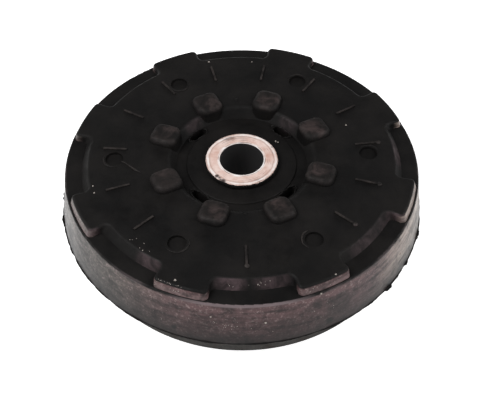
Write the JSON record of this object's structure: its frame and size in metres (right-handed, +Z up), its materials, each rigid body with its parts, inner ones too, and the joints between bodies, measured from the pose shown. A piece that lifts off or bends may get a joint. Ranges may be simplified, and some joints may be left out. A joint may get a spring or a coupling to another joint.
{
  "type": "strut top mount",
  "caption": "Round bonded rubber mount with a castellated rim and a central steel bush, which holds the top of a damper strut in a vehicle body.",
  "frame": {"origin": "centre of the base, on the surface that the seat ring's turned-down edge rests on", "axes": "+Z up along the bush's bore, +X to the right and +Y away from the viewer as in the picture"},
  "size_m": [0.1208, 0.1208, 0.0341],
  "materials": {
    "rubber": "matt moulded black rubber",
    "bare_steel": "turned, bare",
    "plate_steel": "pressed, grit blasted for bonding",
    "seat_steel": "phosphated pressed steel"
  },
  "bodies": {
    "root": {"rubber_body": "rubber", "centre_bush": "bare_steel", "core_plate": "plate_steel", "bearing_seat_ring": "seat_steel"}
  },
  "joints": []
}
